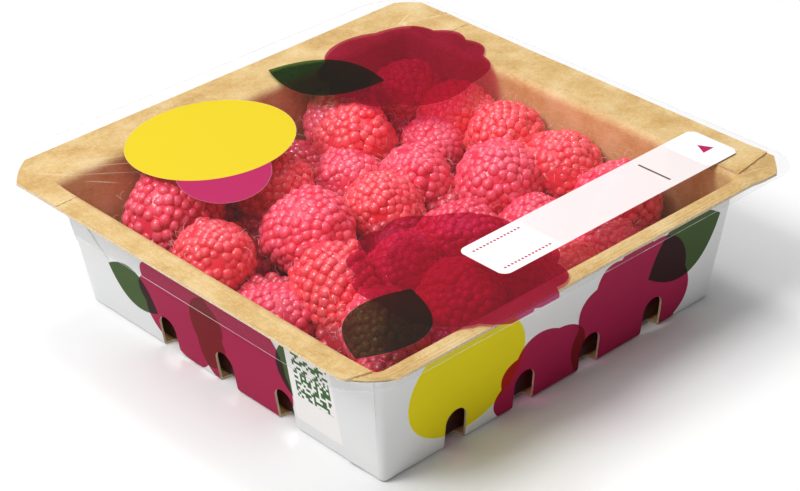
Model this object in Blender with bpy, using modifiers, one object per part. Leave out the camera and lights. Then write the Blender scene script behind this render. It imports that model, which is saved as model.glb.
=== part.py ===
"""Punnet of raspberries: a folded board tray, its heap of berries and the film sealed over its rim.

Units are metres and +Z is up. The origin is the middle of the tray's underside. The rim's lips are
narrow on -X and -Y, the two sides that are opened first, and wide on +X and +Y.
"""
from math import cos, pi, radians, sin

import bmesh
import bpy
import numpy as np
from mathutils import Vector

MM = 0.001
GAP = 0.3 * MM  # clearance between pieces that touch

# Tray
BASE_HALF = 54.0 * MM  # half the side of the square base, outside
MOUTH_HALF = 58.4 * MM  # half the side of the mouth at the rim fold, outside
RIM_HEIGHT = 34.0 * MM  # upper face of the rim's lips above the table
BOARD = 0.6 * MM  # board thickness
FOLD_CUT = 1.5 * MM  # the walls' corner folds, drawn as a narrow cut
LIP_CUT = 8.5 * MM  # the cut across each corner of the rim
LIP_MINUS_X = 65.3 * MM  # from the origin to the rim's outer edge on each side
LIP_PLUS_X = 71.8 * MM
LIP_MINUS_Y = 63.3 * MM
LIP_PLUS_Y = 72.8 * MM

# Vents: arches through the foot of each wall and the edge of the base
VENT_WIDTH = 6.4 * MM
VENT_HEIGHT = 10.0 * MM
VENT_REACH = 4.6 * MM  # how far a vent runs in under the berries
VENT_OUTSIDE = 4.0 * MM  # how far the cutter stands outside the wall
VENT_ARC_STEPS = 8
VENT_PLACES_Y_WALLS = (-0.6, -0.2, 0.2, 0.6)  # along -Y and +Y, as parts of the base's half side
VENT_PLACES_X_WALLS = (-0.4, 0.0, 0.4)  # along -X and +X

# Film
FILM = 0.3 * MM
FILM_MINUS_X = 70.2 * MM  # from the origin to the film's edge on each side
FILM_PLUS_X = 73.0 * MM
FILM_MINUS_Y = 66.1 * MM
FILM_PLUS_Y = 77.0 * MM
FILM_CORNER = 15.0 * MM
FILM_CORNER_STEPS = 7

# Heap
HEAP_CELLS = 46  # cells along each side of the heap's grid
HEAP_FLOOR = BOARD + GAP
HEAP_LEVEL = 11.0 * MM  # lowest the heap's top falls, between two berries
HEAP_TOP = RIM_HEIGHT - GAP  # no berry stands above this
BERRY_LENGTH = 22.0 * MM
BERRY_WIDTH = 20.5 * MM

# The berries on top: middle x, y, z and the tip's yaw and lean, in millimetres and degrees
TOP_BERRIES = (
    (-36, 43, 21, 200, 20), (-12, 47, 16, 240, 20), (6, 47, 14, 240, 20), (24, 47, 22, 220, 30),
    (45, 45, 22, 220, 30), (-10, 34, 20, 215, 20), (19, 36, 22, 250, 60), (46, 27, 23, 200, 10),
    (-24, 27, 11, 200, 0), (10, 29, 17, 230, 30), (34, 23, 20, 225, 60), (-42, 18, 21, 240, 30),
    (-19, 10, 22, 250, 10), (4, 9, 20, 225, 20), (19, 13, 20, 240, 30), (46, 9, 22, 200, 30),
    (-43, -5, 15, 290, 20), (-30, -12, 21, 250, -20), (-12, -17, 19, 240, 20), (6, -17, 20, 240, 20),
    (30, -5, 22, 225, 30), (46, -11, 22, 220, 20), (25, -23, 17, 240, 20), (46, -31, 21, 240, 20),
    (-33, -33, 20, 240, 20), (-13, -37, 21, 240, 20), (5, -42, 19, 240, 20), (18, -43, 15, 220, 20),
    (31, -42, 16, 240, 20), (-44, -45, 12, 240, 20),
)


def clear_scene():
    """Remove every object that the file opened with."""
    for item in list(bpy.data.objects):
        bpy.data.objects.remove(item)


def new_collection(name):
    """A collection linked to the scene."""
    made = bpy.data.collections.new(name)
    bpy.context.scene.collection.children.link(made)
    return made


def new_object(name, mesh_builder, collection, material=None):
    """An object holding what a bmesh holds, with its normals pointing out."""
    bmesh.ops.recalc_face_normals(mesh_builder, faces=mesh_builder.faces)
    mesh = bpy.data.meshes.new(name)
    mesh_builder.to_mesh(mesh)
    mesh_builder.free()
    if material:
        mesh.materials.append(material)
    item = bpy.data.objects.new(name, mesh)
    collection.objects.link(item)
    return item


def plain_material(name, color, roughness, alpha=1.0):
    """A Principled material of one colour."""
    material = bpy.data.materials.new(name)
    material.use_nodes = True
    shader = material.node_tree.nodes["Principled BSDF"]
    shader.inputs["Base Color"].default_value = (*color, 1.0)
    shader.inputs["Roughness"].default_value = roughness
    shader.inputs["Alpha"].default_value = alpha
    return material


def cut_rectangle(minus_x, plus_x, minus_y, plus_y, cut, z):
    """Eight corners of a rectangle with its own corners cut off, anticlockwise, at height z."""
    return [
        Vector((-minus_x + cut, -minus_y, z)), Vector((plus_x - cut, -minus_y, z)),
        Vector((plus_x, -minus_y + cut, z)), Vector((plus_x, plus_y - cut, z)),
        Vector((plus_x - cut, plus_y, z)), Vector((-minus_x + cut, plus_y, z)),
        Vector((-minus_x, plus_y - cut, z)), Vector((-minus_x, -minus_y + cut, z)),
    ]


def loft(builder, rings):
    """Join each ring of points to the next with quads, and return the rings' vertices."""
    rows = [[builder.verts.new(point) for point in ring] for ring in rings]
    for lower, upper in zip(rows, rows[1:]):
        for i in range(len(lower)):
            j = (i + 1) % len(lower)
            builder.faces.new((lower[i], lower[j], upper[j], upper[i]))
    return rows


def arch_prism(builder, along, wall_sign, on_x_wall):
    """One vent cutter: an arch standing on the table, run through a wall and into the base."""
    radius = VENT_WIDTH / 2
    spring = VENT_HEIGHT - radius
    outline = [(-radius, -VENT_OUTSIDE), (radius, -VENT_OUTSIDE)]
    for step in range(VENT_ARC_STEPS + 1):
        angle = pi * step / VENT_ARC_STEPS
        outline.append((radius * cos(angle), spring + radius * sin(angle)))
    inner = wall_sign * (BASE_HALF - VENT_REACH)
    outer = wall_sign * (MOUTH_HALF + VENT_OUTSIDE)
    rings = []
    for depth in (inner, outer):
        ring = [(along + u, depth, z) for u, z in outline]
        rings.append([Vector((d, a, z)) if on_x_wall else Vector((a, d, z)) for a, d, z in ring])
    rows = loft(builder, rings)
    for row in rows:
        builder.faces.new(row)


def build_vent_cutters(collection):
    """All vents of the four walls in one cutter."""
    builder = bmesh.new()
    for wall_sign in (-1, 1):
        for place in VENT_PLACES_Y_WALLS:
            arch_prism(builder, place * BASE_HALF, wall_sign, on_x_wall=False)
        for place in VENT_PLACES_X_WALLS:
            arch_prism(builder, place * BASE_HALF, wall_sign, on_x_wall=True)
    cutters = new_object("vent_cutters", builder, collection)
    cutters.hide_render = True
    cutters.display_type = "WIRE"
    return cutters


def build_tray(parts, cutters):
    """The board tray: base, four leaning walls and the rim's lips, of one sheet, with its vents."""
    builder = bmesh.new()
    under_rim = RIM_HEIGHT - BOARD
    rows = loft(builder, [
        cut_rectangle(BASE_HALF, BASE_HALF, BASE_HALF, BASE_HALF, FOLD_CUT, 0.0),
        cut_rectangle(MOUTH_HALF, MOUTH_HALF, MOUTH_HALF, MOUTH_HALF, FOLD_CUT, under_rim),
        cut_rectangle(LIP_MINUS_X, LIP_PLUS_X, LIP_MINUS_Y, LIP_PLUS_Y, LIP_CUT, under_rim),
    ])
    base = builder.faces.new(rows[0])
    board = plain_material("kraft_board", (0.60, 0.40, 0.20), 0.85)
    tray = new_object("tray", builder, parts, board)
    if base_points_down(tray):
        tray.data.flip_normals()
    sheet = tray.modifiers.new("board", "SOLIDIFY")
    sheet.thickness = BOARD
    sheet.offset = 1.0
    sheet.use_even_offset = True
    sheet.use_quality_normals = True
    vents = tray.modifiers.new("vents", "BOOLEAN")
    vents.operation = "DIFFERENCE"
    vents.solver = "EXACT"
    vents.object = build_vent_cutters(cutters)
    return tray


def base_points_down(tray):
    """Whether the base's face, the one face with eight corners, points at the table."""
    base = max(tray.data.polygons, key=lambda face: len(face.vertices))
    return base.normal.z < 0


def inner_half(z):
    """Half the clear width between two opposite walls at height z."""
    lean = (MOUTH_HALF - BASE_HALF) / (RIM_HEIGHT - BOARD)
    return BASE_HALF + lean * z - BOARD * (1 + lean * lean) ** 0.5


def berry_form(yaw, lean):
    """The matrix A of a berry's ellipsoid, p A p = 1, from its tip's direction."""
    yaw, lean = radians(yaw), radians(lean)
    tip = np.array([cos(yaw) * cos(lean), sin(yaw) * cos(lean), sin(lean)])
    along = np.outer(tip, tip)
    across = np.eye(3) - along
    return along / (BERRY_LENGTH / 2) ** 2 + across / (BERRY_WIDTH / 2) ** 2


def berry_top(x, y, berry):
    """Height of a berry's upper surface over points x, y; the table where it doesn't reach."""
    form = berry_form(*berry[3:])
    middle = np.array(berry[:3]) * MM
    dx, dy = x - middle[0], y - middle[1]
    b = form[0, 2] * dx + form[1, 2] * dy
    c = form[0, 0] * dx ** 2 + 2 * form[0, 1] * dx * dy + form[1, 1] * dy ** 2 - 1
    inside = b ** 2 - form[2, 2] * c
    top = middle[2] + (np.sqrt(np.maximum(inside, 0)) - b) / form[2, 2]
    return np.where(inside > 0, top, 0)


def build_heap(parts):
    """The heap of berries: a grid draped over the top berries, closed down to the tray's base."""
    steps = np.linspace(-1, 1, HEAP_CELLS + 1)
    u, v = np.meshgrid(steps, steps, indexing="ij")
    half = inner_half(RIM_HEIGHT / 2) - GAP
    height = np.full_like(u, HEAP_LEVEL)
    for berry in TOP_BERRIES:
        height = np.maximum(height, berry_top(u * half, v * half, berry))
    height = np.minimum(height, HEAP_TOP)
    spread = inner_half(height) - 2 * GAP

    builder = bmesh.new()
    grid = [[builder.verts.new((u[i, j] * spread[i, j], v[i, j] * spread[i, j], height[i, j]))
             for j in range(HEAP_CELLS + 1)] for i in range(HEAP_CELLS + 1)]
    for i in range(HEAP_CELLS):
        for j in range(HEAP_CELLS):
            builder.faces.new((grid[i][j], grid[i + 1][j], grid[i + 1][j + 1], grid[i][j + 1]))

    # The rim of the grid, anticlockwise, is carried down to the base
    last = HEAP_CELLS
    border = [(i, 0) for i in range(last)] + [(last, j) for j in range(last)]
    border += [(i, last) for i in range(last, 0, -1)] + [(0, j) for j in range(last, 0, -1)]
    foot_half = inner_half(HEAP_FLOOR) - 2 * GAP
    foot = [builder.verts.new((u[i, j] * foot_half, v[i, j] * foot_half, HEAP_FLOOR))
            for i, j in border]
    for k, (i, j) in enumerate(border):
        m = (k + 1) % len(border)
        builder.faces.new((foot[k], foot[m], grid[border[m][0]][border[m][1]], grid[i][j]))
    builder.faces.new(foot)
    flesh = plain_material("raspberry", (0.60, 0.03, 0.06), 0.45)
    heap = new_object("raspberries", builder, parts, flesh)
    heap.data.shade_smooth()
    return heap


def build_film(parts):
    """The film: a flat sheet with round corners that stands a little past the rim all round."""
    corners = (
        (FILM_PLUS_X - FILM_CORNER, FILM_PLUS_Y - FILM_CORNER, 0.0),
        (FILM_CORNER - FILM_MINUS_X, FILM_PLUS_Y - FILM_CORNER, 0.5 * pi),
        (FILM_CORNER - FILM_MINUS_X, FILM_CORNER - FILM_MINUS_Y, pi),
        (FILM_PLUS_X - FILM_CORNER, FILM_CORNER - FILM_MINUS_Y, 1.5 * pi),
    )
    outline = []
    for x, y, start in corners:
        for step in range(FILM_CORNER_STEPS + 1):
            angle = start + 0.5 * pi * step / FILM_CORNER_STEPS
            outline.append((x + FILM_CORNER * cos(angle), y + FILM_CORNER * sin(angle)))
    builder = bmesh.new()
    lower = RIM_HEIGHT + GAP
    rows = loft(builder, [[Vector((x, y, z)) for x, y in outline] for z in (lower, lower + FILM)])
    for row in rows:
        builder.faces.new(row)
    clear = plain_material("clear_film", (0.86, 0.88, 0.90), 0.12, alpha=0.35)
    return new_object("film_lid", builder, parts, clear)


def main():
    """Build the punnet."""
    clear_scene()
    parts = new_collection("raspberry_punnet")
    cutters = new_collection("cutters")
    build_tray(parts, cutters)
    build_heap(parts)
    build_film(parts)


main()
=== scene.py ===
"""Punnet of raspberries: the looks of the board tray, the berries and the printed film.

The tray is a folded kraft board, white and printed outside, with arched vents along its foot. Berries
fill it up to a clear film, sealed over the rim, with fields of translucent and solid ink.
Everything is in metres, +Z up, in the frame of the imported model.
"""
from __future__ import annotations

import logging
from dataclasses import dataclass, field
from enum import Enum
from math import cos, pi, radians, sin
from typing import Callable, Iterable, Sequence

import bmesh
import bpy
from mathutils import Euler, Matrix, Vector, noise

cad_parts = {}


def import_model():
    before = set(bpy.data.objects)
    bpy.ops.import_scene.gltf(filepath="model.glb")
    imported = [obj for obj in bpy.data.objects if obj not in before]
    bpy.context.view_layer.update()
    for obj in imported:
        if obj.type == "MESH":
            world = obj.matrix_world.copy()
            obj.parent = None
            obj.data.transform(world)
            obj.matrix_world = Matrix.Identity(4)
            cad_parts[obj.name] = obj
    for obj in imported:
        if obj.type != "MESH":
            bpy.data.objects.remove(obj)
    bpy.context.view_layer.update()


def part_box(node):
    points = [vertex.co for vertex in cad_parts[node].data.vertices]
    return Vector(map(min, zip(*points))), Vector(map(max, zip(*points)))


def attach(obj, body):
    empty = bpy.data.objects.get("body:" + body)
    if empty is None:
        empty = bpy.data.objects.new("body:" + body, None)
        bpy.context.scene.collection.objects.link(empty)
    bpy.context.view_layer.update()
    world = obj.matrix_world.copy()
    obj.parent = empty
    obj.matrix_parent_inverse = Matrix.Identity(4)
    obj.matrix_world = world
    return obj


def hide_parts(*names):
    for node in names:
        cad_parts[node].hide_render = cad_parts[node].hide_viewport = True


log = logging.getLogger("raspberry_punnet")

MM = 0.001
BODY = "root"


# --- Colours and nodes -------------------------------------------------------------------------


def linear(hex_color: str, alpha: float = 1.0) -> tuple[float, float, float, float]:
    """Turn an sRGB hex colour into the linear colour that shaders take.

    Args:
        hex_color: The colour as "#RRGGBB".
        alpha: The fourth value of the result.

    Returns:
        Linear red, green and blue, and alpha.
    """
    channels = [int(hex_color[i:i + 2], 16) / 255 for i in (1, 3, 5)]
    red, green, blue = (c / 12.92 if c <= 0.04045 else ((c + 0.055) / 1.055) ** 2.4 for c in channels)
    return red, green, blue, alpha


def socket_of(sockets: Iterable, name: str | int):
    """Find a socket by its name among those in use, or by its place.

    Args:
        sockets: A node's inputs or outputs.
        name: The socket's name, or its index.

    Returns:
        The socket.
    """
    if isinstance(name, int):
        return sockets[name]
    return next(socket for socket in sockets if socket.name == name and socket.enabled)


def add_node(tree: bpy.types.NodeTree, kind: str, inputs: dict | None = None, **settings) -> bpy.types.Node:
    """Add a node, with its settings, and with values or links on its inputs.

    Args:
        tree: The tree that gets the node.
        kind: The node's type, such as "ShaderNodeMath".
        inputs: Socket names or indices, each with a value or with another node's output socket.
        **settings: The node's own properties.

    Returns:
        The new node.
    """
    node = tree.nodes.new(kind)
    for name, value in settings.items():
        setattr(node, name, value)
    for name, value in (inputs or {}).items():
        socket = socket_of(node.inputs, name)
        if isinstance(value, bpy.types.NodeSocket):
            tree.links.new(value, socket)
        else:
            socket.default_value = value
    return node


def out(node: bpy.types.Node, name: str | int = 0) -> bpy.types.NodeSocket:
    """A node's output socket."""
    return socket_of(node.outputs, name)


class Formula:
    """Arithmetic on sockets, in a shader tree or a geometry tree."""

    def __init__(self, tree: bpy.types.NodeTree) -> None:
        """Keep the tree that the arithmetic is added to."""
        self.tree = tree

    def math(self, operation: str, *values) -> bpy.types.NodeSocket:
        """One scalar operation on values or sockets."""
        node = add_node(self.tree, "ShaderNodeMath", dict(enumerate(values)), operation=operation)
        return out(node)

    def vector(self, operation: str, *values) -> bpy.types.NodeSocket:
        """One vector operation; a length or dot product comes out as a number."""
        node = add_node(self.tree, "ShaderNodeVectorMath", dict(enumerate(values)), operation=operation)
        return out(node, "Value" if operation in ("LENGTH", "DOT_PRODUCT") else "Vector")

    def scaled(self, vector, factor) -> bpy.types.NodeSocket:
        """A vector times a number."""
        node = add_node(self.tree, "ShaderNodeVectorMath", {0: vector, "Scale": factor}, operation="SCALE")
        return out(node)

    def split(self, vector) -> tuple[bpy.types.NodeSocket, ...]:
        """A vector's three numbers."""
        return tuple(add_node(self.tree, "ShaderNodeSeparateXYZ", {0: vector}).outputs)

    def joined(self, x, y, z) -> bpy.types.NodeSocket:
        """Three numbers as a vector."""
        return out(add_node(self.tree, "ShaderNodeCombineXYZ", {0: x, 1: y, 2: z}))

    def blend(self, factor, first, second) -> bpy.types.NodeSocket:
        """One colour turning into another by a factor."""
        return self.mixed("MIX", factor, first, second)

    def mixed(self, mode: str, factor, first, second) -> bpy.types.NodeSocket:
        """Two colours mixed in one of Blender's modes."""
        node = add_node(self.tree, "ShaderNodeMix", data_type="RGBA", blend_type=mode)
        for name, value in (("Factor", factor), ("A", first), ("B", second)):
            socket = socket_of(node.inputs, name)
            if isinstance(value, bpy.types.NodeSocket):
                self.tree.links.new(value, socket)
            else:
                socket.default_value = value
        return out(node, "Result")

    def ramp(self, value, low: float, high: float, start: float = 0.0, end: float = 1.0):
        """A value moved from one range to another, and held inside it."""
        node = add_node(self.tree, "ShaderNodeMapRange",
                        {"Value": value, "From Min": low, "From Max": high, "To Min": start, "To Max": end})
        return out(node)

    def noise(self, place, size: float, detail: float = 2.0, roughness: float = 0.5):
        """Noise between 0 and 1 whose blobs are about a size, in metres, across."""
        node = add_node(self.tree, "ShaderNodeTexNoise",
                        {"Vector": place, "Scale": 1 / size, "Detail": detail, "Roughness": roughness})
        return out(node, 0)


# --- Printed fields ----------------------------------------------------------------------------


class FieldShape(Enum):
    """The outlines that the print is made of."""

    LOBED = "lobed"
    LEAF = "leaf"
    PANEL = "panel"
    DOTS = "dots"
    ARROW = "arrow"


class Overprint(Enum):
    """How an ink meets what is under it."""

    THROUGH = "through"
    COVER = "cover"


@dataclass(frozen=True)
class Ink:
    """A printing ink: the colour it shows, the colour it lets through, and how much it hides."""

    body: str
    passes: str
    hides: float
    overprint: Overprint


@dataclass(frozen=True)
class PrintedField:
    """One printed field, with its place and size in millimetres and its turn in degrees."""

    shape: FieldShape
    ink: Ink
    centre: tuple[float, float]
    half: tuple[float, float]
    turn: float = 0.0
    lobes: int = 8
    depth: float = 0.06
    phase: float = 0.0


RASPBERRY_INK = Ink("#A2082C", "#D2639E", 0.26, Overprint.THROUGH)
LEAF_INK = Ink("#0C1800", "#64924E", 0.3, Overprint.THROUGH)
MAGENTA_INK = Ink("#B40656", "#FFFFFF", 1.0, Overprint.COVER)
YELLOW_INK = Ink("#E2C800", "#FFFFFF", 1.0, Overprint.COVER)
WHITE_INK = Ink("#FBF8F6", "#FFFFFF", 1.0, Overprint.COVER)
RULE_INK = Ink("#4A3A3C", "#FFFFFF", 0.9, Overprint.COVER)
CREASE_WHITE = Ink("#FFFBF2", "#FFFFFF", 0.14, Overprint.COVER)
CLEAR_WINDOW = Ink("#F4F4F6", "#FCFCFD", 0.006, Overprint.COVER)
VEIL_INK = Ink("#FBF4F4", "#FFFFFF", 0.84, Overprint.COVER)
BOARD_RASPBERRY_INK = Ink("#A82A58", "#B81A50", 1.0, Overprint.THROUGH)
BOARD_LEAF_INK = Ink("#48602E", "#48622E", 1.0, Overprint.THROUGH)
BOARD_YELLOW_INK = Ink("#F2DC2E", "#FFEC10", 1.0, Overprint.THROUGH)


class FieldNodes:
    """Node groups that draw one field's mask, made once and shared by the board and the film."""

    SHARPNESS = 1 / (0.12 * MM)  # an ink's edge fades over about 0.12 mm

    def __init__(self) -> None:
        """Start with no groups."""
        self.groups: dict[FieldShape, bpy.types.NodeTree] = {}

    def group(self, shape: FieldShape) -> bpy.types.NodeTree:
        """The node group of a shape, made when first asked for."""
        if shape not in self.groups:
            self.groups[shape] = self._build(shape)
        return self.groups[shape]

    def mask(self, tree: bpy.types.NodeTree, printed: PrintedField, place) -> bpy.types.NodeSocket:
        """Add one field's mask to a material.

        Args:
            tree: The material's node tree.
            printed: The field.
            place: A socket with the place on the sheet, in metres.

        Returns:
            A socket that is 1 inside the field and 0 outside.
        """
        values = {
            "Place": place,
            "Centre": (printed.centre[0] * MM, printed.centre[1] * MM, 0.0),
            "Half": (printed.half[0] * MM, printed.half[1] * MM, 1.0),
            "Turn": radians(printed.turn),
            "Lobes": float(printed.lobes),
            "Depth": printed.depth,
            "Phase": printed.phase,
        }
        node = tree.nodes.new("ShaderNodeGroup")
        node.node_tree = self.group(printed.shape)
        for name, value in values.items():
            if name not in node.inputs:
                continue
            if isinstance(value, bpy.types.NodeSocket):
                tree.links.new(value, node.inputs[name])
            else:
                node.inputs[name].default_value = value
        return out(node)

    def _build(self, shape: FieldShape) -> bpy.types.NodeTree:
        """Build a shape's node group."""
        tree = bpy.data.node_groups.new(f"{shape.value}_field", "ShaderNodeTree")
        for name in ("Place", "Centre", "Half"):
            tree.interface.new_socket(name, in_out="INPUT", socket_type="NodeSocketVector")
        for name in ("Turn", "Lobes", "Depth", "Phase"):
            tree.interface.new_socket(name, in_out="INPUT", socket_type="NodeSocketFloat")
        tree.interface.new_socket("Mask", in_out="OUTPUT", socket_type="NodeSocketFloat")
        given = tree.nodes.new("NodeGroupInput")
        do = Formula(tree)
        offset = do.vector("SUBTRACT", given.outputs["Place"], given.outputs["Centre"])
        turned = add_node(tree, "ShaderNodeVectorRotate",
                          {"Vector": offset, "Angle": do.math("MULTIPLY", given.outputs["Turn"], -1.0)},
                          rotation_type="Z_AXIS")
        x, y, _ = do.split(out(turned))
        half_x, half_y, _ = do.split(given.outputs["Half"])
        draw = {
            FieldShape.LOBED: self._lobed, FieldShape.LEAF: self._leaf, FieldShape.PANEL: self._panel,
            FieldShape.DOTS: self._dots, FieldShape.ARROW: self._arrow,
        }
        distance = draw[shape](do, given, x, y, half_x, half_y)
        steep = do.math("MULTIPLY_ADD", distance, -self.SHARPNESS, 0.5)
        add_node(tree, "NodeGroupOutput", {0: do.math("MINIMUM", do.math("MAXIMUM", steep, 0.0), 1.0)})
        return tree

    @staticmethod
    def _lobed(do: Formula, given, x, y, half_x, half_y) -> bpy.types.NodeSocket:
        """Distance outside a rounded field with uneven lobes."""
        across = do.math("DIVIDE", x, half_x)
        up = do.math("DIVIDE", y, half_y)
        radius = do.vector("LENGTH", do.joined(across, up, 0.0))
        angle = do.math("ADD", do.math("ARCTAN2", up, across), given.outputs["Phase"])
        uneven = do.math("MULTIPLY_ADD", do.math("SINE", do.math("MULTIPLY", angle, 2.0)), 0.22, angle)
        wave = do.math("ABSOLUTE", do.math("SINE", do.math(
            "MULTIPLY", uneven, do.math("MULTIPLY", given.outputs["Lobes"], 0.5))))
        edge = do.math("MULTIPLY_ADD", wave, given.outputs["Depth"],
                       do.math("SUBTRACT", 1.0, given.outputs["Depth"]))
        return do.math("MULTIPLY", do.math("SUBTRACT", radius, edge), do.math("MINIMUM", half_x, half_y))

    @staticmethod
    def _leaf(do: Formula, given, x, y, half_x, half_y) -> bpy.types.NodeSocket:
        """Distance outside a leaf with two pointed ends, bowed by Depth."""
        along = do.math("DIVIDE", x, half_x)
        square = do.math("MULTIPLY", along, along)
        swell = do.math("MAXIMUM", do.math("SUBTRACT", 1.0, square), -0.5)
        bow = do.math("MULTIPLY", do.math("MULTIPLY", swell, given.outputs["Depth"]), half_y)
        across = do.math("ABSOLUTE", do.math("SUBTRACT", y, bow))
        return do.math("SUBTRACT", across, do.math("MULTIPLY", swell, half_y))

    @staticmethod
    def _panel(do: Formula, given, x, y, half_x, half_y) -> bpy.types.NodeSocket:
        """Distance outside a rectangle whose corners are rounded by Depth, in millimetres."""
        corner = do.math("MULTIPLY", given.outputs["Depth"], MM)
        side = do.math("ADD", do.math("SUBTRACT", do.math("ABSOLUTE", x), half_x), corner)
        rise = do.math("ADD", do.math("SUBTRACT", do.math("ABSOLUTE", y), half_y), corner)
        outside = do.vector("LENGTH",
                            do.joined(do.math("MAXIMUM", side, 0.0), do.math("MAXIMUM", rise, 0.0), 0.0))
        inside = do.math("MINIMUM", do.math("MAXIMUM", side, rise), 0.0)
        return do.math("SUBTRACT", do.math("ADD", outside, inside), corner)


    @staticmethod
    def _dots(do: Formula, given, x, y, half_x, half_y) -> bpy.types.NodeSocket:
        """Distance outside a row of dots, Depth millimetres apart."""
        pitch = do.math("MULTIPLY", given.outputs["Depth"], MM)
        along = do.math("SUBTRACT", do.math("FLOORED_MODULO", x, pitch), do.math("MULTIPLY", pitch, 0.5))
        dot = do.math("SUBTRACT", do.vector("LENGTH", do.joined(along, y, 0.0)), half_y)
        return do.math("MAXIMUM", dot, do.math("SUBTRACT", do.math("ABSOLUTE", x), half_x))

    @staticmethod
    def _arrow(do: Formula, given, x, y, half_x, half_y) -> bpy.types.NodeSocket:
        """Distance outside a triangle that points along +X."""
        slope = do.math("DIVIDE", do.math("SUBTRACT", half_x, x), do.math("MULTIPLY", half_x, 2.0))
        side = do.math("SUBTRACT", do.math("ABSOLUTE", y), do.math("MULTIPLY", slope, half_y))
        return do.math("MAXIMUM", side, do.math("SUBTRACT", do.math("MULTIPLY", x, -1.0), half_x))


# --- Finishes ----------------------------------------------------------------------------------


def new_material(name: str) -> tuple[bpy.types.Material, bpy.types.NodeTree, bpy.types.Node]:
    """Start a material.

    Args:
        name: Its name.

    Returns:
        The material, its tree and its Principled shader.
    """
    material = bpy.data.materials.new(name)
    material.use_nodes = True
    tree = material.node_tree
    return material, tree, tree.nodes["Principled BSDF"]


def set_values(shader: bpy.types.Node, **values) -> None:
    """Set a shader's own sockets; an underscore in a name stands for a space."""
    for name, value in values.items():
        shader.inputs[name.replace("_", " ")].default_value = value


def object_place(tree: bpy.types.NodeTree) -> bpy.types.NodeSocket:
    """A socket with the place on the piece, in metres."""
    return out(add_node(tree, "ShaderNodeTexCoord"), "Object")


def link_bump(tree: bpy.types.NodeTree, shader: bpy.types.Node, height, distance: float,
              strength: float) -> None:
    """Put relief on a shader.

    Args:
        tree: The material's tree.
        shader: The shader that gets the relief.
        height: A socket between 0 and 1.
        distance: How deep the relief is, in metres.
        strength: How much of it shows.
    """
    bump = add_node(tree, "ShaderNodeBump", {"Strength": strength, "Distance": distance, "Height": height})
    tree.links.new(out(bump), shader.inputs["Normal"])


@dataclass(frozen=True)
class KraftBoard:
    """Unbleached kraft board, calendered: warm brown, matt, with long pale and dark fibres."""

    name: str = "kraft_board"
    dark: str = "#C09658"
    middle: str = "#D4B478"
    light: str = "#E6D0A2"
    fibre_length: float = 1.6 * MM
    fibre_width: float = 0.3 * MM
    cloud: float = 9.0 * MM

    def tone(self, tree: bpy.types.NodeTree, place) -> tuple[bpy.types.NodeSocket, bpy.types.NodeSocket]:
        """The board's colour and its fibres' relief.

        Args:
            tree: The material's tree.
            place: A socket with the place, in metres.

        Returns:
            The colour and the relief.
        """
        do = Formula(tree)
        stretch = self.fibre_width / self.fibre_length
        one_way = do.noise(do.vector("MULTIPLY", place, (1.0, stretch, 1.0)), self.fibre_width, 3.0, 0.6)
        other_way = do.noise(do.vector("MULTIPLY", place, (stretch, 1.0, 1.0)), self.fibre_width, 3.0, 0.6)
        fibres = do.math("MULTIPLY", do.math("ADD", one_way, other_way), 0.5)
        clouds = do.noise(place, self.cloud, 3.0, 0.6)
        depth = do.math("ADD", do.math("MULTIPLY", do.ramp(fibres, 0.36, 0.64), 0.42),
                        do.math("MULTIPLY", do.ramp(clouds, 0.28, 0.72), 0.58))
        low = do.blend(do.ramp(depth, 0.1, 0.5), linear(self.dark), linear(self.middle))
        return do.blend(do.ramp(depth, 0.45, 0.95), low, linear(self.light)), fibres

    def make(self) -> bpy.types.Material:
        """Build the material."""
        material, tree, shader = new_material(self.name)
        color, fibres = self.tone(tree, object_place(tree))
        tree.links.new(color, shader.inputs["Base Color"])
        set_values(shader, Roughness=0.72, Specular_IOR_Level=0.35)
        link_bump(tree, shader, fibres, 0.05 * MM, 0.5)
        return material


@dataclass(frozen=True)
class BoardEdge:
    """Cut edge of the board: raw pale pulp between the liners, a light line along every cut."""

    name: str = "board_edge"
    pale: str = "#E9D9BC"
    dark: str = "#CDB48C"

    def make(self) -> bpy.types.Material:
        """Build the material."""
        material, tree, shader = new_material(self.name)
        do = Formula(tree)
        grain = do.noise(object_place(tree), 0.4 * MM, 2.0)
        tree.links.new(do.blend(do.ramp(grain, 0.35, 0.65), linear(self.pale), linear(self.dark)),
                       shader.inputs["Base Color"])
        set_values(shader, Roughness=0.85, Specular_IOR_Level=0.25)
        return material


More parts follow.
